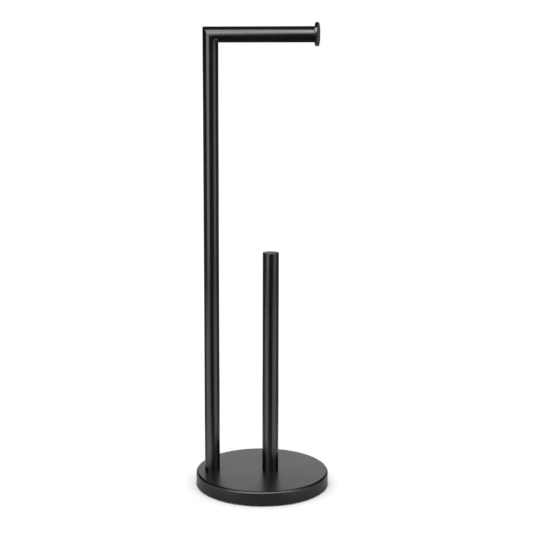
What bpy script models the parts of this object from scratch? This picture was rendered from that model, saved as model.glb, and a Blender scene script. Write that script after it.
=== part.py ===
"""Free-standing toilet paper holder: a weighted round base, an L-shaped post with
a roll arm, and a shorter post that stores spare rolls.

Units are metres, +Z is up, and the origin is the centre of the base's underside.
+X runs from the foot of the L-shaped post to the foot of the spare-roll post.
"""

import math

import bmesh
import bpy
from mathutils import Matrix, Vector

COLLECTION = "toilet_paper_holder"

# Clearance kept between neighbouring solids
GAP = 0.0003

# Base: a pressed cover over a cast weight, standing on a foam pad
BASE_RADIUS = 0.085
BASE_TOP = 0.0185
COVER_WALL = 0.0015
COVER_EDGE_RADIUS = 0.0030
COVER_BOTTOM = 0.0010
PAD_RADIUS = 0.0820
PAD_THICKNESS = 0.0025
WEIGHT_SIDE_CLEARANCE = 0.0010
WEIGHT_CHAMFER = 0.0010
WEIGHT_FLOOR_OVER_SCREW = 0.0040

# L-shaped post
POST_X = -0.0645
POST_RADIUS = 0.00975
POST_WALL = 0.0012
ARM_HEIGHT = 0.5740
ARM_LENGTH = 0.1305
ARM_REST_DEGREES = -8.8

# End disc that keeps the roll on the arm
DISC_RADIUS = 0.0146
DISC_THICKNESS = 0.0037
DISC_EDGE_RADIUS = 0.0008

# Post for spare rolls
SPARE_X = 0.0105
SPARE_RADIUS = 0.0104
SPARE_WALL = 0.0012
SPARE_TOP = 0.3030
CAP_THICKNESS = 0.0020
CAP_SPIGOT_LENGTH = 0.0100
CAP_EDGE_RADIUS = 0.0004

# M6 fastening
SCREW_RADIUS = 0.0030
SCREW_LENGTH = 0.0250
SCREW_HEAD_RADIUS = 0.00525
SCREW_HEAD_HEIGHT = 0.0033
SCREW_SOCKET_FLATS = 0.0040
SCREW_SOCKET_DEPTH = 0.0020
SCREW_HEAD_LAND = 0.0006
SCREW_TIP_CHAMFER = 0.0005
WASHER_RADIUS = 0.0060
SPRING_WASHER_RADIUS = 0.0055
WASHER_THICKNESS = 0.0016
SPRING_WASHER_SPLIT_DEGREES = 10.0
CLEARANCE_HOLE_RADIUS = SCREW_RADIUS + GAP
SCREW_RECESS_RADIUS = 0.0090
INSERT_LENGTH = 0.0200
INSERT_CHAMFER = 0.0005
INSERT_HOLE_DEPTH = 0.0180
STUD_LENGTH = 0.0120

# Heights of the stacked pieces under each post
COVER_CEILING = BASE_TOP - COVER_WALL
WEIGHT_BOTTOM = PAD_THICKNESS + GAP
WEIGHT_TOP = COVER_CEILING - GAP
RECESS_CEILING = WEIGHT_TOP - WEIGHT_FLOOR_OVER_SCREW
WASHER_BOTTOM = RECESS_CEILING - GAP - WASHER_THICKNESS
SPRING_WASHER_BOTTOM = WASHER_BOTTOM - GAP - WASHER_THICKNESS
SCREW_SEAT = SPRING_WASHER_BOTTOM - GAP
POST_FOOT = BASE_TOP + GAP

# Facets around a full turn
BASE_SEGMENTS = 96
TUBE_SEGMENTS = 48
SMALL_SEGMENTS = 32
ROUNDING_STEPS = 4

SMOOTH_ANGLE = math.radians(35.0)


def clear_scene():
    for obj in list(bpy.data.objects):
        bpy.data.objects.remove(obj, do_unlink=True)


def new_collection(name):
    collection = bpy.data.collections.new(name)
    bpy.context.scene.collection.children.link(collection)
    return collection


def material(name, color, roughness, metallic):
    made = bpy.data.materials.new(name)
    made.use_nodes = True
    shader = made.node_tree.nodes["Principled BSDF"]
    shader.inputs["Base Color"].default_value = (*color, 1.0)
    shader.inputs["Roughness"].default_value = roughness
    shader.inputs["Metallic"].default_value = metallic
    return made


def powder_coat(name):
    return material(name, (0.018, 0.018, 0.019), 0.45, 0.0)


def zinc_steel(name):
    return material(name, (0.62, 0.62, 0.60), 0.35, 1.0)


def new_object(name, bm, look, collection, parent=None):
    mesh = bpy.data.meshes.new(name)
    bm.to_mesh(mesh)
    bm.free()
    mesh.shade_smooth()
    mesh.set_sharp_from_angle(angle=SMOOTH_ANGLE)
    mesh.materials.append(look)
    obj = bpy.data.objects.new(name, mesh)
    obj.parent = parent
    collection.objects.link(obj)
    return obj


def arc(center_r, center_z, radius, start_degrees, end_degrees, steps=ROUNDING_STEPS):
    """Points of a profile's rounded corner, as (radius, height) pairs."""
    points = []
    for step in range(steps + 1):
        angle = math.radians(start_degrees + (end_degrees - start_degrees) * step / steps)
        points.append((center_r + radius * math.cos(angle), center_z + radius * math.sin(angle)))
    return points


def turned(profile, segments, closed=False):
    """Spin a profile of (radius, height) pairs about Z, listed down its outer side."""
    bm = bmesh.new()
    points = [bm.verts.new((radius, 0.0, height)) for radius, height in profile]
    edges = [bm.edges.new(pair) for pair in zip(points, points[1:])]
    if closed:
        edges.append(bm.edges.new((points[-1], points[0])))
    bmesh.ops.spin(
        bm,
        geom=points + edges,
        cent=(0.0, 0.0, 0.0),
        axis=(0.0, 0.0, 1.0),
        angle=math.tau,
        steps=segments,
        use_merge=True,
    )
    bmesh.ops.remove_doubles(bm, verts=bm.verts, dist=1e-6)
    bmesh.ops.recalc_face_normals(bm, faces=bm.faces)
    return bm


def tube(radius, wall, bottom, top, segments=TUBE_SEGMENTS):
    inner = radius - wall
    profile = [(inner, top), (radius, top), (radius, bottom), (inner, bottom)]
    return turned(profile, segments, closed=True)


def lay_along_x(bm):
    """Turn a piece that was spun about Z so that its axis runs along X."""
    bmesh.ops.rotate(bm, verts=bm.verts, matrix=Matrix.Rotation(math.pi / 2, 3, "Y"))


def cut_open_end(bm, point, outward):
    """Cut a tube on a slant, and close the cut wall with a flat ring."""
    everything = bm.verts[:] + bm.edges[:] + bm.faces[:]
    bmesh.ops.bisect_plane(bm, geom=everything, plane_co=point, plane_no=outward, clear_outer=True)
    rims = [edge for edge in bm.edges if edge.is_boundary]
    bmesh.ops.bridge_loops(bm, edges=rims)
    bmesh.ops.recalc_face_normals(bm, faces=bm.faces)


def cutter(name, bm, collection, parent):
    mesh = bpy.data.meshes.new(name)
    bm.to_mesh(mesh)
    bm.free()
    obj = bpy.data.objects.new(name, mesh)
    obj.parent = parent
    obj.hide_render = True
    obj.display_type = "WIRE"
    collection.objects.link(obj)
    return obj


def subtract(obj, tool):
    modifier = obj.modifiers.new(tool.name, "BOOLEAN")
    modifier.operation = "DIFFERENCE"
    modifier.solver = "EXACT"
    modifier.object = tool


def round_cutter(name, radius, bottom, top, collection, parent):
    bm = turned([(0.0, top), (radius, top), (radius, bottom), (0.0, bottom)], SMALL_SEGMENTS)
    return cutter(name, bm, collection, parent)


def make_axis(name, x, turn_degrees, collection):
    """An empty on a post's vertical axis, which carries the pieces of that post."""
    axis = bpy.data.objects.new(name, None)
    axis.location = (x, 0.0, 0.0)
    axis.rotation_euler = (0.0, 0.0, math.radians(turn_degrees))
    collection.objects.link(axis)
    return axis


# Base


def make_base_cover(axes, collection, cutters):
    inner = BASE_RADIUS - COVER_WALL
    inner_edge = COVER_EDGE_RADIUS - COVER_WALL
    corner_r = BASE_RADIUS - COVER_EDGE_RADIUS
    corner_z = BASE_TOP - COVER_EDGE_RADIUS
    profile = [(0.0, BASE_TOP)]
    profile += arc(corner_r, corner_z, COVER_EDGE_RADIUS, 90.0, 0.0, steps=2 * ROUNDING_STEPS)
    profile += [(BASE_RADIUS, COVER_BOTTOM), (inner, COVER_BOTTOM)]
    profile += arc(corner_r, corner_z, inner_edge, 0.0, 90.0)
    profile.append((0.0, COVER_CEILING))
    look = powder_coat("base_cover")
    cover = new_object("base_cover", turned(profile, BASE_SEGMENTS), look, collection)
    for axis in axes:
        name = axis.name + "_cover_hole"
        high = BASE_TOP + COVER_WALL
        low = COVER_CEILING - COVER_WALL
        subtract(cover, round_cutter(name, CLEARANCE_HOLE_RADIUS, low, high, cutters, axis))


def make_base_weight(axes, collection, cutters):
    radius = BASE_RADIUS - COVER_WALL - WEIGHT_SIDE_CLEARANCE
    inner = radius - WEIGHT_CHAMFER
    profile = [
        (0.0, WEIGHT_TOP),
        (inner, WEIGHT_TOP),
        (radius, WEIGHT_TOP - WEIGHT_CHAMFER),
        (radius, WEIGHT_BOTTOM + WEIGHT_CHAMFER),
        (inner, WEIGHT_BOTTOM),
        (0.0, WEIGHT_BOTTOM),
    ]
    look = material("base_weight", (0.09, 0.09, 0.09), 0.75, 1.0)
    weight = new_object("base_weight", turned(profile, BASE_SEGMENTS), look, collection)
    stepped = [
        (0.0, BASE_TOP),
        (CLEARANCE_HOLE_RADIUS, BASE_TOP),
        (CLEARANCE_HOLE_RADIUS, RECESS_CEILING),
        (SCREW_RECESS_RADIUS, RECESS_CEILING),
        (SCREW_RECESS_RADIUS, 0.0),
        (0.0, 0.0),
    ]
    for axis in axes:
        name = axis.name + "_weight_bore"
        subtract(weight, cutter(name, turned(stepped, SMALL_SEGMENTS), cutters, axis))


def make_base_pad(axes, collection, cutters):
    profile = [(0.0, PAD_THICKNESS), (PAD_RADIUS, PAD_THICKNESS), (PAD_RADIUS, 0.0), (0.0, 0.0)]
    look = material("base_pad", (0.02, 0.02, 0.02), 0.9, 0.0)
    pad = new_object("base_pad", turned(profile, BASE_SEGMENTS), look, collection)
    for axis in axes:
        name = axis.name + "_pad_hole"
        low = -PAD_THICKNESS
        high = 2 * PAD_THICKNESS
        subtract(pad, round_cutter(name, SCREW_RECESS_RADIUS, low, high, cutters, axis))


# Tubes, end disc and cap


def make_post_tube(collection, axis):
    bm = tube(POST_RADIUS, POST_WALL, POST_FOOT, ARM_HEIGHT + 2 * POST_RADIUS)
    slant = Vector((1.0, 0.0, 1.0)).normalized()
    corner = Vector((0.0, 0.0, ARM_HEIGHT))
    cut_open_end(bm, corner - slant * GAP / 2, slant)
    new_object("post_tube", bm, powder_coat("post_tube"), collection, axis)


def make_arm_tube(collection, axis):
    bm = tube(POST_RADIUS, POST_WALL, -2 * POST_RADIUS, ARM_LENGTH - GAP)
    lay_along_x(bm)
    slant = Vector((-1.0, 0.0, -1.0)).normalized()
    cut_open_end(bm, -slant * GAP / 2, slant)
    bmesh.ops.translate(bm, verts=bm.verts, vec=(0.0, 0.0, ARM_HEIGHT))
    new_object("arm_tube", bm, powder_coat("arm_tube"), collection, axis)


def make_end_disc(collection, axis):
    edge = DISC_EDGE_RADIUS
    rim = DISC_RADIUS - edge
    profile = [(0.0, DISC_THICKNESS)]
    profile += arc(rim, DISC_THICKNESS - edge, edge, 90.0, 0.0)
    profile += arc(rim, edge, edge, 0.0, -90.0)
    profile += [(SCREW_RADIUS, 0.0), (SCREW_RADIUS, -STUD_LENGTH), (0.0, -STUD_LENGTH)]
    bm = turned(profile, TUBE_SEGMENTS)
    lay_along_x(bm)
    bmesh.ops.translate(bm, verts=bm.verts, vec=(ARM_LENGTH, 0.0, ARM_HEIGHT))
    new_object("end_disc", bm, powder_coat("end_disc"), collection, axis)


def make_spare_post_tube(collection, axis):
    bm = tube(SPARE_RADIUS, SPARE_WALL, POST_FOOT, SPARE_TOP - CAP_THICKNESS - GAP)
    new_object("spare_post_tube", bm, powder_coat("spare_post_tube"), collection, axis)


def make_spare_post_cap(collection, axis):
    edge = CAP_EDGE_RADIUS
    underside = SPARE_TOP - CAP_THICKNESS
    spigot = SPARE_RADIUS - SPARE_WALL - GAP
    profile = [(0.0, SPARE_TOP)]
    profile += arc(SPARE_RADIUS - edge, SPARE_TOP - edge, edge, 90.0, 0.0)
    profile += [
        (SPARE_RADIUS, underside),
        (spigot, underside),
        (spigot, underside - CAP_SPIGOT_LENGTH),
        (0.0, underside - CAP_SPIGOT_LENGTH),
    ]
    bm = turned(profile, TUBE_SEGMENTS)
    new_object("spare_post_cap", bm, powder_coat("spare_post_cap"), collection, axis)


# Inserts and fasteners


def insert_plug(radius):
    """A plug with a tapped blind hole, its open face at height 0 and its body above."""
    inner = radius - INSERT_CHAMFER
    profile = [
        (0.0, INSERT_LENGTH),
        (inner, INSERT_LENGTH),
        (radius, INSERT_LENGTH - INSERT_CHAMFER),
        (radius, INSERT_CHAMFER),
        (inner, 0.0),
        (CLEARANCE_HOLE_RADIUS, 0.0),
        (CLEARANCE_HOLE_RADIUS, INSERT_HOLE_DEPTH),
        (0.0, INSERT_HOLE_DEPTH),
    ]
    return turned(profile, SMALL_SEGMENTS)


def make_arm_end_insert(collection, axis):
    bm = insert_plug(POST_RADIUS - POST_WALL - GAP)
    bmesh.ops.rotate(bm, verts=bm.verts, matrix=Matrix.Rotation(-math.pi / 2, 3, "Y"))
    bmesh.ops.translate(bm, verts=bm.verts, vec=(ARM_LENGTH - GAP, 0.0, ARM_HEIGHT))
    new_object("arm_end_insert", bm, zinc_steel("arm_end_insert"), collection, axis)


def make_foot_insert(name, tube_inner_radius, collection, axis):
    bm = insert_plug(tube_inner_radius - GAP)
    bmesh.ops.translate(bm, verts=bm.verts, vec=(0.0, 0.0, POST_FOOT))
    new_object(name, bm, zinc_steel(name), collection, axis)


def make_screw(name, collection, cutters, axis):
    """A button-head screw driven from below, its head's bearing face at SCREW_SEAT."""
    head_bottom = SCREW_SEAT - SCREW_HEAD_HEIGHT
    tip = SCREW_SEAT + SCREW_LENGTH
    socket_corner = SCREW_SOCKET_FLATS / math.sqrt(3)
    land = socket_corner + SCREW_HEAD_LAND
    profile = [
        (0.0, tip),
        (SCREW_RADIUS - SCREW_TIP_CHAMFER, tip),
        (SCREW_RADIUS, tip - SCREW_TIP_CHAMFER),
        (SCREW_RADIUS, SCREW_SEAT),
        (SCREW_HEAD_RADIUS, SCREW_SEAT),
    ]
    for step in range(1, ROUNDING_STEPS + 1):
        angle = math.pi / 2 * step / ROUNDING_STEPS
        radius = land + (SCREW_HEAD_RADIUS - land) * math.cos(angle)
        profile.append((radius, SCREW_SEAT - SCREW_HEAD_HEIGHT * math.sin(angle)))
    profile.append((0.0, head_bottom))
    screw = new_object(name, turned(profile, SMALL_SEGMENTS), zinc_steel(name), collection, axis)

    hexagon = bmesh.new()
    bmesh.ops.create_cone(
        hexagon,
        cap_ends=True,
        segments=6,
        radius1=socket_corner,
        radius2=socket_corner,
        depth=2 * SCREW_SOCKET_DEPTH,
        matrix=Matrix.Translation((0.0, 0.0, head_bottom)),
    )
    subtract(screw, cutter(name + "_socket", hexagon, cutters, axis))


def make_washer(name, collection, axis):
    wall = WASHER_RADIUS - CLEARANCE_HOLE_RADIUS
    bm = tube(WASHER_RADIUS, wall, WASHER_BOTTOM, WASHER_BOTTOM + WASHER_THICKNESS, SMALL_SEGMENTS)
    new_object(name, bm, zinc_steel(name), collection, axis)


def make_spring_washer(name, collection, axis):
    """A square-section ring with a narrow split."""
    top = SPRING_WASHER_BOTTOM + WASHER_THICKNESS
    corners = [
        (CLEARANCE_HOLE_RADIUS, SPRING_WASHER_BOTTOM),
        (SPRING_WASHER_RADIUS, SPRING_WASHER_BOTTOM),
        (SPRING_WASHER_RADIUS, top),
        (CLEARANCE_HOLE_RADIUS, top),
    ]
    bm = bmesh.new()
    section = bm.faces.new([bm.verts.new((radius, 0.0, height)) for radius, height in corners])
    bmesh.ops.spin(
        bm,
        geom=[section, *section.edges, *section.verts],
        cent=(0.0, 0.0, 0.0),
        axis=(0.0, 0.0, 1.0),
        angle=math.tau - math.radians(SPRING_WASHER_SPLIT_DEGREES),
        steps=SMALL_SEGMENTS,
        use_merge=False,
    )
    bmesh.ops.recalc_face_normals(bm, faces=bm.faces)
    new_object(name, bm, zinc_steel(name), collection, axis)


def make_foot_fastening(prefix, tube_inner_radius, collection, cutters, axis):
    make_foot_insert(prefix + "_foot_insert", tube_inner_radius, collection, axis)
    make_screw(prefix + "_screw", collection, cutters, axis)
    make_washer(prefix + "_washer", collection, axis)
    make_spring_washer(prefix + "_spring_washer", collection, axis)


def main():
    clear_scene()
    parts = new_collection(COLLECTION)
    cutters = new_collection(COLLECTION + "_cutters")

    # The L-shaped post turns about its axis on its single foot screw
    post_axis = make_axis("post", POST_X, ARM_REST_DEGREES, parts)
    spare_axis = make_axis("spare_post", SPARE_X, 0.0, parts)

    make_base_cover((post_axis, spare_axis), parts, cutters)
    make_base_weight((post_axis, spare_axis), parts, cutters)
    make_base_pad((post_axis, spare_axis), parts, cutters)

    make_post_tube(parts, post_axis)
    make_arm_tube(parts, post_axis)
    make_end_disc(parts, post_axis)
    make_arm_end_insert(parts, post_axis)
    make_foot_fastening("post", POST_RADIUS - POST_WALL, parts, cutters, post_axis)

    make_spare_post_tube(parts, spare_axis)
    make_spare_post_cap(parts, spare_axis)
    make_foot_fastening("spare", SPARE_RADIUS - SPARE_WALL, parts, cutters, spare_axis)


main()
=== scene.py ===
"""Studio scene for the free-standing toilet paper holder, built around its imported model."""

import math

import bmesh
import bpy
from mathutils import Matrix, Vector


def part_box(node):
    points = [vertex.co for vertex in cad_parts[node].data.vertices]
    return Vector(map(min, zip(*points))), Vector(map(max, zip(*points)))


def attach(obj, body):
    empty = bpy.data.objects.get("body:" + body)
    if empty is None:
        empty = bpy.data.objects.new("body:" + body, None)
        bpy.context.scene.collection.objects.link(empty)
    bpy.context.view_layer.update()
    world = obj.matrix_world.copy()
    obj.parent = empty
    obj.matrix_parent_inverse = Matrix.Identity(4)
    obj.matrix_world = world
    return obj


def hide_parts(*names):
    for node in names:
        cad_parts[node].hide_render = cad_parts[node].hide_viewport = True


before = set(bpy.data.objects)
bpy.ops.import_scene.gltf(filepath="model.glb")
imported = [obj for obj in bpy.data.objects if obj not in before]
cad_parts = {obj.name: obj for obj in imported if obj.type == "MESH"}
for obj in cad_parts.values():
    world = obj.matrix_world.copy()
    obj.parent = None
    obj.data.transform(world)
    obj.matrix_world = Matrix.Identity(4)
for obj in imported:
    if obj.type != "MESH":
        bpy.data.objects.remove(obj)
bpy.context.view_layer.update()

# Metres, as in the frame
TOUCH = 0.00002
TUBE_WALL = 0.0012
BRACE = 0.0003
MITRE_BRACE = 0.0012
MITRE_ROUNDING = 0.0006
DISC_EDGE = 0.0008
STUD_COLLAR_RADIUS = 0.0032
STUD_COLLAR_LENGTH = 0.0004
STUD_RADIUS = 0.0030
STUD_TIP_RADIUS = 0.0024
STUD_SHANK = 0.0110
STUD_LENGTH = 0.0117
CAP_THICKNESS = 0.002
CAP_EDGE = 0.0004
COVER_WALL = 0.0015
COVER_EDGE = 0.0030
COVER_HEM = 0.0004
COVER_HOLE_RADIUS = 0.0033
PAD_EDGE = 0.0003
PAD_HOLE_RADIUS = 0.009

# Steps round a full turn
TUBE_STEPS = 96
BASE_STEPS = 192
HOLE_STEPS = 48

# Stage, in metres
FLOOR_SIZE = 30.0
FLOOR_DROP = 0.0001
FLAG_GAP = 0.001
FLAG_NOTCH_GAP = 0.0002

# Light colours
WARM = (1.0, 0.99, 0.95)
COOL = (1.0, 0.95, 1.01)

# Camera
CAMERA_TURN = 1.995
CAMERA_PITCH = 8.874
CAMERA_PLACE = (0.0367, -1.5080, 0.5544)
CAMERA_LENS = 81.91
CAMERA_SHIFT = (0.0310, -0.0497)


# Reading the frame


def middle(node):
    low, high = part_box(node)
    return (Vector(low) + Vector(high)) / 2


def width_y(node):
    low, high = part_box(node)
    return high[1] - low[1]


def reach(node, direction):
    """How far a node goes along a direction, measured from the origin."""
    return max(vertex.co.dot(direction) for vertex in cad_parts[node].data.vertices)


class Holder:
    """The sizes and places that the pieces share, all read from the frame."""

    post_axis = Vector((middle("post_tube").x, middle("post_tube").y, 0.0))
    post_radius = width_y("post_tube") / 2
    arm_height = middle("arm_end_insert").z
    arm_way = (middle("arm_end_insert") - post_axis - Vector((0.0, 0.0, arm_height))).normalized()
    arm_angle = math.atan2(arm_way.y, arm_way.x)
    arm_end = reach("arm_tube", arm_way) - post_axis.dot(arm_way)
    disc_face = reach("end_disc", arm_way) - post_axis.dot(arm_way)
    disc_radius = (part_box("end_disc")[1][2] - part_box("end_disc")[0][2]) / 2
    spare_axis = Vector((middle("spare_post_tube").x, middle("spare_post_tube").y, 0.0))
    spare_radius = width_y("spare_post_tube") / 2
    spare_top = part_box("spare_post_cap")[1][2]
    base_radius = width_y("base_cover") / 2
    base_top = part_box("base_cover")[1][2]
    cover_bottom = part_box("base_cover")[0][2]


# Mesh helpers


def place_on_post(bm):
    """Turn a mesh that was made about the origin to the arm's heading, on the post's axis."""
    turn = Matrix.Rotation(Holder.arm_angle, 4, "Z")
    bmesh.ops.transform(bm, matrix=Matrix.Translation(Holder.post_axis) @ turn, verts=bm.verts)


def new_piece(name, bm, look, body, sharp_degrees=35.0):
    mesh = bpy.data.meshes.new(name)
    bm.to_mesh(mesh)
    bm.free()
    mesh.shade_smooth()
    mesh.set_sharp_from_angle(angle=math.radians(sharp_degrees))
    mesh.materials.append(look)
    piece = bpy.data.objects.new(name, mesh)
    bpy.context.scene.collection.objects.link(piece)
    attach(piece, body)
    return piece


def arc(center_r, center_z, radius, start_degrees, end_degrees, steps):
    points = []
    for step in range(steps + 1):
        angle = math.radians(start_degrees + (end_degrees - start_degrees) * step / steps)
        points.append((center_r + radius * math.cos(angle), center_z + radius * math.sin(angle)))
    return points


def braced(profile):
    """Add a point close to each end of every long straight, so that smooth shading turns only there."""
    points = [profile[0]]
    for start, end in zip(profile, profile[1:]):
        length = math.dist(start, end)
        if length > 4 * BRACE:
            for part in (BRACE / length, 1.0 - BRACE / length):
                points.append(tuple(a + (b - a) * part for a, b in zip(start, end)))
        points.append(end)
    return points


def turned(profile, steps, closed=False):
    """Spin a profile of (radius, height) pairs about Z."""
    bm = bmesh.new()
    profile = braced(profile)
    points = [bm.verts.new((radius, 0.0, height)) for radius, height in profile]
    edges = [bm.edges.new(pair) for pair in zip(points, points[1:])]
    if closed:
        edges.append(bm.edges.new((points[-1], points[0])))
    bmesh.ops.spin(
        bm,
        geom=points + edges,
        cent=(0.0, 0.0, 0.0),
        axis=(0.0, 0.0, 1.0),
        angle=math.tau,
        steps=steps,
        use_merge=True,
    )
    bmesh.ops.remove_doubles(bm, verts=bm.verts, dist=1e-7)
    bmesh.ops.recalc_face_normals(bm, faces=bm.faces)
    return bm


# Materials


class Nodes:
    """Small helpers for a node tree."""

    def __init__(self, tree):
        self.tree = tree

    def node(self, kind, **values):
        made = self.tree.nodes.new(kind)
        for name, value in values.items():
            setattr(made, name, value)
        return made

    def link(self, source, target):
        self.tree.links.new(source, target)

    def calculate(self, operation, *values):
        made = self.node("ShaderNodeMath", operation=operation)
        for socket, value in zip(made.inputs, values):
            if isinstance(value, (int, float)):
                socket.default_value = value
            else:
                self.link(value, socket)
        return made.outputs["Value"]

    def fade(self, source, start, stop, low, high):
        """Go smoothly from low to high while the source goes from start to stop."""
        made = self.node("ShaderNodeMapRange", interpolation_type="SMOOTHSTEP")
        for socket, value in zip(list(made.inputs)[1:5], (start, stop, low, high)):
            socket.default_value = value
        self.link(source, made.inputs["Value"])
        return made.outputs["Result"]


class Look(Nodes):
    """A Principled material on Object coordinates."""

    def __init__(self, name, roughness, metallic=0.0):
        self.material = bpy.data.materials.new(name)
        self.material.use_nodes = True
        super().__init__(self.material.node_tree)
        self.shader = self.tree.nodes["Principled BSDF"]
        self.shader.inputs["Roughness"].default_value = roughness
        self.shader.inputs["Metallic"].default_value = metallic
        self.place = self.node("ShaderNodeTexCoord").outputs["Object"]

    def noise(self, scale, detail=3.0, roughness=0.5):
        made = self.node("ShaderNodeTexNoise")
        made.inputs["Scale"].default_value = scale
        made.inputs["Detail"].default_value = detail
        made.inputs["Roughness"].default_value = roughness
        self.link(self.place, made.inputs["Vector"])
        return made.outputs["Fac"]

    def remap(self, source, low, high, from_low=0.3, from_high=0.7):
        made = self.node("ShaderNodeMapRange")
        made.inputs["From Min"].default_value = from_low
        made.inputs["From Max"].default_value = from_high
        made.inputs["To Min"].default_value = low
        made.inputs["To Max"].default_value = high
        self.link(source, made.inputs["Value"])
        return made.outputs["Result"]

    def blend_colors(self, factor, first, second):
        made = self.node("ShaderNodeMix", data_type="RGBA")
        self.link(factor, made.inputs["Factor"])
        for socket, value in ((made.inputs["A"], first), (made.inputs["B"], second)):
            if isinstance(value, tuple):
                socket.default_value = (*value, 1.0)
            else:
                self.link(value, socket)
        return made.outputs["Result"]

    def bump(self, height, distance, strength=1.0, below=None):
        made = self.node("ShaderNodeBump")
        made.inputs["Strength"].default_value = strength
        made.inputs["Distance"].default_value = distance
        self.link(height, made.inputs["Height"])
        if below:
            self.link(below, made.inputs["Normal"])
        return made.outputs["Normal"]


def powder_coat_look(name, roughness):
    """Satin black powder coat: fine grain over a faint orange peel."""
    look = Look(name, roughness)
    grain = look.noise(2400.0, detail=2.0)
    peel = look.noise(420.0, detail=2.0)
    cloud = look.noise(28.0, detail=4.0)
    edge = look.remap(look.node("ShaderNodeNewGeometry").outputs["Pointiness"], 0.0, 1.0, 0.53, 0.60)
    shade = look.remap(cloud, 0.0, 1.0)
    color = look.blend_colors(shade, (0.0085, 0.0085, 0.0088), (0.0125, 0.0124, 0.0125))
    # Convex edges are mixed toward a lighter grey: partly rubbed edge wear, partly a painted highlight
    # along the edges.
    edge_wear_and_painted_highlight = look.calculate("MULTIPLY", edge, look.remap(look.noise(160.0), 0.0, 0.5))
    look.link(look.blend_colors(edge_wear_and_painted_highlight, color, (0.030, 0.030, 0.030)), look.shader.inputs["Base Color"])
    patchy = look.remap(cloud, roughness - 0.02, roughness + 0.02)
    rough = look.calculate("ADD", patchy, look.remap(grain, -0.03, 0.03))
    look.link(rough, look.shader.inputs["Roughness"])
    relief = look.bump(peel, 0.00006, strength=0.35)
    relief = look.bump(grain, 0.00002, strength=0.5, below=relief)
    look.link(relief, look.shader.inputs["Normal"])
    return look.material


def foam_look():
    look = Look("foam_pad_rubber", roughness=0.85)
    cells = look.node("ShaderNodeTexVoronoi")
    cells.inputs["Scale"].default_value = 2200.0
    look.link(look.place, cells.inputs["Vector"])
    cloud = look.noise(60.0)
    color = look.blend_colors(look.remap(cloud, 0.0, 1.0), (0.012, 0.012, 0.012), (0.022, 0.022, 0.021))
    look.link(color, look.shader.inputs["Base Color"])
    look.link(look.remap(cloud, 0.78, 0.92), look.shader.inputs["Roughness"])
    look.link(look.bump(cells.outputs["Distance"], 0.0001, strength=0.6), look.shader.inputs["Normal"])
    return look.material


def cast_iron_look():
    look = Look("raw_casting", roughness=0.7, metallic=0.85)
    sand = look.noise(1100.0, detail=5.0, roughness=0.6)
    scale = look.noise(75.0, detail=4.0)
    color = look.blend_colors(look.remap(scale, 0.0, 1.0), (0.055, 0.052, 0.050), (0.105, 0.10, 0.095))
    look.link(color, look.shader.inputs["Base Color"])
    look.link(look.remap(scale, 0.55, 0.80), look.shader.inputs["Roughness"])
    look.link(look.bump(sand, 0.00025, strength=0.7), look.shader.inputs["Normal"])
    return look.material


def zinc_look():
    """Zinc-plated steel with a faint spangle and fine turning marks."""
    look = Look("zinc_plated_steel", roughness=0.3, metallic=1.0)
    patch = look.noise(900.0, detail=3.0)
    turning = look.node("ShaderNodeTexWave", wave_type="BANDS", bands_direction="Z")
    turning.inputs["Scale"].default_value = 2500.0
    turning.inputs["Distortion"].default_value = 1.5
    look.link(look.place, turning.inputs["Vector"])
    color = look.blend_colors(look.remap(patch, 0.0, 1.0), (0.50, 0.51, 0.52), (0.66, 0.66, 0.64))
    look.link(color, look.shader.inputs["Base Color"])
    look.link(look.remap(patch, 0.24, 0.42), look.shader.inputs["Roughness"])
    look.link(look.bump(turning.outputs["Fac"], 0.00001, strength=0.3), look.shader.inputs["Normal"])
    return look.material


TUBE_COAT = powder_coat_look("satin_black_powder_coat", 0.20)
BASE_COAT = powder_coat_look("satin_black_powder_coat_on_base", 0.34)
FOAM = foam_look()
CASTING = cast_iron_look()
ZINC = zinc_look()


# Visible pieces


def make_post_and_arm():
    """Two tubes welded at a 45 degree mitre and coated as one, so the outside is one skin."""
    h = Holder
    bm = bmesh.new()
    made = bmesh.ops.create_circle(bm, segments=TUBE_STEPS, radius=h.post_radius)
    foot = h.base_top + TOUCH
    bmesh.ops.translate(bm, verts=made["verts"], vec=(0.0, 0.0, foot))
    made = bmesh.ops.extrude_edge_only(bm, edges=bm.edges[:])
    corner = [item for item in made["geom"] if isinstance(item, bmesh.types.BMVert)]
    corner_edges = [item for item in made["geom"] if isinstance(item, bmesh.types.BMEdge)]
    for vert in corner:
        vert.co.z = h.arm_height - vert.co.x
    made = bmesh.ops.extrude_edge_only(bm, edges=corner_edges)
    for vert in (item for item in made["geom"] if isinstance(item, bmesh.types.BMVert)):
        vert.co.x = h.arm_end
    mitre = []
    for edge in bm.edges:
        if all(abs(vert.co.x + vert.co.z - h.arm_height) < 1e-6 for vert in edge.verts):
            mitre.append(edge)
    bmesh.ops.bevel(
        bm,
        geom=mitre,
        offset=MITRE_ROUNDING,
        segments=4,
        profile=0.5,
        affect="EDGES",
        material=-1,
    )
    braces = [
        ((-MITRE_BRACE, 0.0, h.arm_height), (1.0, 0.0, 1.0)),
        ((MITRE_BRACE, 0.0, h.arm_height), (1.0, 0.0, 1.0)),
        ((0.0, 0.0, foot + BRACE), (0.0, 0.0, 1.0)),
        ((h.arm_end - BRACE, 0.0, 0.0), (1.0, 0.0, 0.0)),
    ]
    for place, facing in braces:
        bmesh.ops.bisect_plane(
            bm, geom=bm.verts[:] + bm.edges[:] + bm.faces[:], plane_co=place, plane_no=facing
        )
    bmesh.ops.recalc_face_normals(bm, faces=bm.faces)
    place_on_post(bm)
    piece = new_piece(
        "welded_post_and_arm", bm, TUBE_COAT, "post", sharp_degrees=60.0
    )
    wall = piece.modifiers.new("tube_wall", "SOLIDIFY")
    wall.thickness = TUBE_WALL
    wall.offset = -1.0
    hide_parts("post_tube", "arm_tube")


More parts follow.
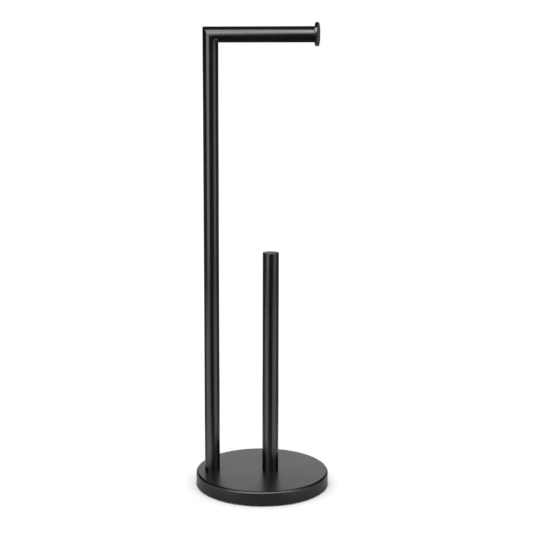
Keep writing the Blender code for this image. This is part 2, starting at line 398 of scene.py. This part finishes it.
def make_roll_stop():
    """The end disc with the stud that screws into the arm, turned upright and laid along the arm."""
    h = Holder
    edge = DISC_EDGE
    end = h.arm_end
    rim = h.disc_radius - edge
    profile = [(0.0, h.disc_face)]
    profile += arc(rim, h.disc_face - edge, edge, 90.0, 0.0, 6)
    profile += arc(rim, end + edge + TOUCH, edge, 0.0, -90.0, 6)
    profile += [(STUD_COLLAR_RADIUS, end + TOUCH), (STUD_RADIUS, end - STUD_COLLAR_LENGTH)]
    profile += [(STUD_RADIUS, end - STUD_SHANK), (STUD_TIP_RADIUS, end - STUD_LENGTH)]
    profile += [(0.0, end - STUD_LENGTH)]
    bm = turned(profile, TUBE_STEPS)
    bmesh.ops.rotate(bm, verts=bm.verts, matrix=Matrix.Rotation(math.pi / 2, 3, "Y"))
    bmesh.ops.translate(bm, verts=bm.verts, vec=(0.0, 0.0, h.arm_height))
    place_on_post(bm)
    piece = new_piece("roll_stop_disc", bm, TUBE_COAT, "post")
    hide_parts("end_disc")


def make_spare_post():
    """A tube with its end disc welded on and coated over, so the seam does not show."""
    h = Holder
    foot = h.base_top + TOUCH
    radius = h.spare_radius
    inner = radius - TUBE_WALL
    edge = CAP_EDGE
    ceiling = h.spare_top - CAP_THICKNESS
    profile = [(0.0, h.spare_top)]
    profile += arc(radius - edge, h.spare_top - edge, edge, 90.0, 0.0, 5)
    profile += [(radius, foot), (inner, foot), (inner, ceiling), (0.0, ceiling)]
    bm = turned(profile, TUBE_STEPS)
    bmesh.ops.translate(bm, verts=bm.verts, vec=h.spare_axis)
    piece = new_piece("capped_spare_post", bm, TUBE_COAT, "base")
    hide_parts("spare_post_tube", "spare_post_cap")


def cut_round_holes(bm, radius):
    """Cut a hole on each post's axis through a mesh, with a Boolean that is applied at once."""
    mesh = bpy.data.meshes.new("uncut")
    bm.to_mesh(mesh)
    bm.free()
    body = bpy.data.objects.new("uncut", mesh)
    bpy.context.scene.collection.objects.link(body)
    drills = []
    for axis in (Holder.post_axis, Holder.spare_axis):
        tool = bmesh.new()
        bmesh.ops.create_cone(
            tool,
            cap_ends=True,
            segments=HOLE_STEPS,
            radius1=radius,
            radius2=radius,
            depth=0.2,
            matrix=Matrix.Translation(axis),
        )
        tool_mesh = bpy.data.meshes.new("drill")
        tool.to_mesh(tool_mesh)
        tool.free()
        drill = bpy.data.objects.new("drill", tool_mesh)
        bpy.context.scene.collection.objects.link(drill)
        cut = body.modifiers.new("hole", "BOOLEAN")
        cut.object = drill
        cut.solver = "EXACT"
        drills.append(drill)
    drilled = body.evaluated_get(bpy.context.evaluated_depsgraph_get())
    done = bpy.data.meshes.new_from_object(drilled)
    result = bmesh.new()
    result.from_mesh(done)
    for obj in (body, *drills):
        bpy.data.objects.remove(obj, do_unlink=True)
    return result


def make_cover():
    """The pressed shell: a rounded top edge, a short hem at the bottom, and two screw holes."""
    h = Holder
    wall = COVER_WALL
    edge = COVER_EDGE
    hem = COVER_HEM
    corner_r = h.base_radius - edge
    corner_z = h.base_top - edge
    profile = [(0.0, h.base_top), (corner_r * 0.5, h.base_top)]
    profile += arc(corner_r, corner_z, edge, 90.0, 0.0, 12)
    profile += [(h.base_radius, h.cover_bottom + hem), (h.base_radius - hem, h.cover_bottom)]
    profile += [(h.base_radius - wall, h.cover_bottom)]
    profile += arc(corner_r, corner_z, edge - wall, 0.0, 90.0, 6)
    profile += [(0.0, h.base_top - wall)]
    bm = cut_round_holes(turned(profile, BASE_STEPS), COVER_HOLE_RADIUS)
    piece = new_piece("pressed_cover", bm, BASE_COAT, "base")
    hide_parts("base_cover")


def make_pad():
    low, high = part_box("base_pad")
    bottom, top = low[2], high[2]
    radius = (high[0] - low[0]) / 2
    edge = PAD_EDGE
    profile = [(0.0, top), (radius, top), (radius, bottom + edge), (radius - edge, bottom)]
    profile += [(0.0, bottom)]
    bm = cut_round_holes(turned(profile, BASE_STEPS), PAD_HOLE_RADIUS)
    piece = new_piece("foam_pad", bm, FOAM, "base")
    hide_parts("base_pad")


# Pieces that keep their frame shape


def dress_frame_nodes():
    looks = {"base_weight": CASTING}
    for name in (
        "arm_end_insert",
        "post_foot_insert",
        "post_screw",
        "post_washer",
        "post_spring_washer",
        "spare_foot_insert",
        "spare_screw",
        "spare_washer",
        "spare_spring_washer",
    ):
        looks[name] = ZINC
    for name, look in looks.items():
        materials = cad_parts[name].data.materials
        for index in range(len(materials)):
            materials[index] = look


# Stage


def aim(obj, target):
    way = Vector(target) - obj.location
    obj.rotation_euler = way.to_track_quat("-Z", "Y").to_euler()


def softbox(name, place, target, size, radiance, color=(1.0, 1.0, 1.0)):
    """A rectangular panel of even brightness, which only the coat's gloss picks up."""
    data = bpy.data.lights.new(name, "AREA")
    data.shape = "RECTANGLE"
    data.size, data.size_y = size
    data.energy = radiance * math.pi * size[0] * size[1]
    data.color = color
    light = bpy.data.objects.new(name, data)
    light.location = place
    aim(light, target)
    light.visible_camera = False
    light.visible_diffuse = False
    bpy.context.scene.collection.objects.link(light)


def around(azimuth, elevation, distance, height):
    """A place at a distance from a point above the base, turned to the right of the front."""
    turn = math.radians(azimuth)
    rise = math.radians(elevation)
    flat = distance * math.cos(rise)
    return (flat * math.sin(turn), -flat * math.cos(turn), height + distance * math.sin(rise))


def make_lights():
    softbox("front_top_left", around(-27.0, 40.0, 1.6, 0.55), (0.0, 0.0, 0.55), (1.1, 1.6), 5.8)
    softbox("front_top_right", around(27.0, 48.0, 1.6, 0.30), (0.0, 0.0, 0.30), (1.7, 0.9), 9.0)
    for level, left, right in ((0.22, 2.9, 1.8), (0.66, 4.1, 1.55), (1.10, 4.1, 1.55)):
        target = (0.0, 0.0, level)
        softbox("left", around(-42.0, 0.0, 1.5, level), target, (1.06, 0.44), left)
        softbox("right", around(61.0, 0.0, 1.5, level), target, (1.10, 0.44), right, color=WARM)
    softbox("rear", (0.0, 0.50, 0.15), (0.0, 0.0, 0.15), (0.5, 0.30), 1.17, color=COOL)
    softbox("rear_top", (0.0, 0.50, 0.39), (0.0, 0.0, 0.39), (0.5, 0.18), 0.40)
    softbox("rear_high", (0.35, 0.94, 0.60), (0.06, -0.02, 0.574), (0.5, 0.5), 0.13)
    softbox("ceiling", (0.0, 0.5, 1.6), (0.0, 0.0, 0.3), (1.2, 1.2), 0.12)


def stage_card(name, bm, material):
    """Put a flat card in the scene, which is not a part of the holder."""
    mesh = bpy.data.meshes.new(name)
    bm.to_mesh(mesh)
    bm.free()
    mesh.materials.append(material)
    card = bpy.data.objects.new(name, mesh)
    bpy.context.scene.collection.objects.link(card)
    return card


def bare_material(name):
    material = bpy.data.materials.new(name)
    material.use_nodes = True
    material.node_tree.nodes.clear()
    return material, Nodes(material.node_tree)


def paper_shine(paper, distance, x, y):
    """How bright the gloss sees the paper: a glow near the base and two lanes in front of it."""
    edge = Holder.base_radius
    # The glow near the base drops to nothing at the rim: a painted contact shadow, which only the gloss
    # sees.
    near = paper.calculate(
        "MULTIPLY",
        paper.fade(distance, 0.10, 0.40, 0.46, 0.12),
        paper.fade(distance, edge, edge + 0.005, 0.0, 1.0),
    )
    near = paper.calculate("MULTIPLY", near, paper.fade(y, -0.03, 0.06, 1.0, 1.8))
    aside = paper.calculate("MULTIPLY", paper.calculate("ABSOLUTE", x), 0.90)
    aside = paper.calculate("ADD", aside, paper.calculate("MULTIPLY", y, 0.43))
    turned_aside = paper.calculate("DIVIDE", aside, distance)
    lanes = paper.fade(x, -0.02, 0.02, 1.8, 1.5)
    for limit in (
        paper.fade(turned_aside, 0.0, 0.10, 0.0, 1.0),
        paper.fade(y, -0.08, 0.04, 1.0, 0.0),
        paper.fade(distance, 0.11, 0.18, 0.0, 1.0),
        paper.fade(distance, 0.9, 1.5, 1.0, 0.0),
    ):
        lanes = paper.calculate("MULTIPLY", lanes, limit)
    return paper.calculate("ADD", near, lanes)


def make_floor():
    """White paper with a little glow of its own, which fades close to the rim of the base as a painted
    contact shadow.

    The camera sees the paper and its glow, and the coat's gloss sees paper_shine instead.
    It is clear from below and open under the base, so that the underside can be seen.
    """
    bm = bmesh.new()
    bmesh.ops.create_grid(bm, x_segments=1, y_segments=1, size=FLOOR_SIZE)
    bmesh.ops.translate(bm, verts=bm.verts, vec=(0.0, 0.0, -FLOOR_DROP))
    material, paper = bare_material("white_paper")

    def emission(strength):
        made = paper.node("ShaderNodeEmission")
        if isinstance(strength, float):
            made.inputs["Strength"].default_value = strength
        else:
            paper.link(strength, made.inputs["Strength"])
        return made

    def choose(factor, otherwise, chosen):
        made = paper.node("ShaderNodeMixShader")
        paper.link(factor, made.inputs[0])
        paper.link(otherwise.outputs[0], made.inputs[1])
        paper.link(chosen.outputs[0], made.inputs[2])
        return made

    place = paper.node("ShaderNodeTexCoord").outputs["Object"]
    length = paper.node("ShaderNodeVectorMath", operation="LENGTH")
    paper.link(place, length.inputs[0])
    distance = length.outputs["Value"]
    split = paper.node("ShaderNodeSeparateXYZ")
    paper.link(place, split.inputs[0])
    edge = Holder.base_radius

    shine = emission(paper_shine(paper, distance, split.outputs["X"], split.outputs["Y"]))
    dull = emission(0.2)
    sheet = paper.node("ShaderNodeBsdfDiffuse")
    sheet.inputs["Color"].default_value = (3.0, 3.0, 3.0, 1.0)
    # The paper's glow is dimmed under and just beside the rim: a painted contact shadow, which the
    # camera sees.
    painted_shadow_under_rim = paper.fade(distance, edge - 0.001, edge + 0.004, 0.0, 1.0)
    painted_shadow_beside_rim = paper.fade(distance, edge, edge + 0.015, 0.14, 0.21)
    glow = emission(paper.calculate("MULTIPLY", painted_shadow_under_rim, painted_shadow_beside_rim))
    seen = paper.node("ShaderNodeAddShader")
    paper.link(sheet.outputs[0], seen.inputs[0])
    paper.link(glow.outputs[0], seen.inputs[1])

    ray = paper.node("ShaderNodeLightPath")
    surface = choose(ray.outputs["Is Glossy Ray"], dull, shine)
    surface = choose(ray.outputs["Is Camera Ray"], surface, seen)
    open_under_base = paper.fade(distance, edge - 0.006, edge - 0.005, 1.0, 0.0)
    open_from_below = paper.node("ShaderNodeNewGeometry").outputs["Backfacing"]
    opening = paper.calculate("MAXIMUM", open_under_base, open_from_below)
    surface = choose(opening, surface, paper.node("ShaderNodeBsdfTransparent"))
    paper.link(surface.outputs[0], paper.node("ShaderNodeOutputMaterial").inputs["Surface"])
    stage_card("floor", bm, material)


def make_flag():
    """A dark card close under the arm, which keeps the floor's shine off the arm's underside.

    Only the coat's gloss sees it. It is an L round the post's corner, and does not turn with the arm.
    """
    h = Holder
    notch = h.post_radius + FLAG_NOTCH_GAP
    columns = (-0.004, notch, h.arm_end)
    rows = (-0.055, -notch, 0.025)
    bm = bmesh.new()
    bmesh.ops.create_grid(bm, x_segments=2, y_segments=2, size=1.0)
    for vert in bm.verts:
        column = round(vert.co.x) + 1
        row = round(vert.co.y) + 1
        vert.co = (columns[column], rows[row], h.arm_height - h.post_radius - FLAG_GAP)
    over_post = [
        face
        for face in bm.faces
        if face.calc_center_median().x < notch and face.calc_center_median().y > -notch
    ]
    bmesh.ops.delete(bm, geom=over_post, context="FACES")
    place_on_post(bm)
    material, card = bare_material("black_card")
    dark = card.node("ShaderNodeEmission")
    dark.inputs["Strength"].default_value = 0.1
    card.link(dark.outputs[0], card.node("ShaderNodeOutputMaterial").inputs["Surface"])
    flag = stage_card("flag", bm, material)
    for kind in ("camera", "diffuse", "transmission", "volume_scatter", "shadow"):
        setattr(flag, "visible_" + kind, False)


def make_world():
    """A white backdrop for the camera and soft fill for matt surfaces.

    The gloss sees it black, apart from a shine that comes from below the floor.
    """
    world = bpy.data.worlds.new("studio")
    world.use_nodes = True
    room = Nodes(world.node_tree)
    backdrop = room.tree.nodes["Background"]
    backdrop.inputs["Color"].default_value = (1.0, 1.0, 1.0, 1.0)
    ray = room.node("ShaderNodeLightPath").outputs
    fill = room.calculate("MULTIPLY_ADD", ray["Is Diffuse Ray"], 0.3, ray["Is Camera Ray"])
    split = room.node("ShaderNodeSeparateXYZ")
    room.link(room.node("ShaderNodeTexCoord").outputs["Generated"], split.inputs[0])
    below = room.calculate("LESS_THAN", split.outputs["Z"], -0.02)
    shine = room.calculate("MULTIPLY", below, ray["Is Glossy Ray"])
    room.link(room.calculate("ADD", fill, shine), backdrop.inputs["Strength"])
    bpy.context.scene.world = world


def make_camera():
    data = bpy.data.cameras.new("camera")
    data.lens = CAMERA_LENS
    data.sensor_width = 36.0
    data.shift_x, data.shift_y = CAMERA_SHIFT
    data.clip_start = 0.05
    camera = bpy.data.objects.new("camera", data)
    camera.location = CAMERA_PLACE
    camera.rotation_euler = (math.radians(90.0 - CAMERA_PITCH), 0.0, math.radians(CAMERA_TURN))
    bpy.context.scene.collection.objects.link(camera)
    bpy.context.scene.camera = camera


make_camera()
make_world()
make_lights()
make_floor()
make_flag()
bpy.context.scene.view_settings.view_transform = "Standard"

make_post_and_arm()
make_roll_stop()
make_spare_post()
make_cover()
make_pad()
dress_frame_nodes()

bpy.context.view_layer.update()
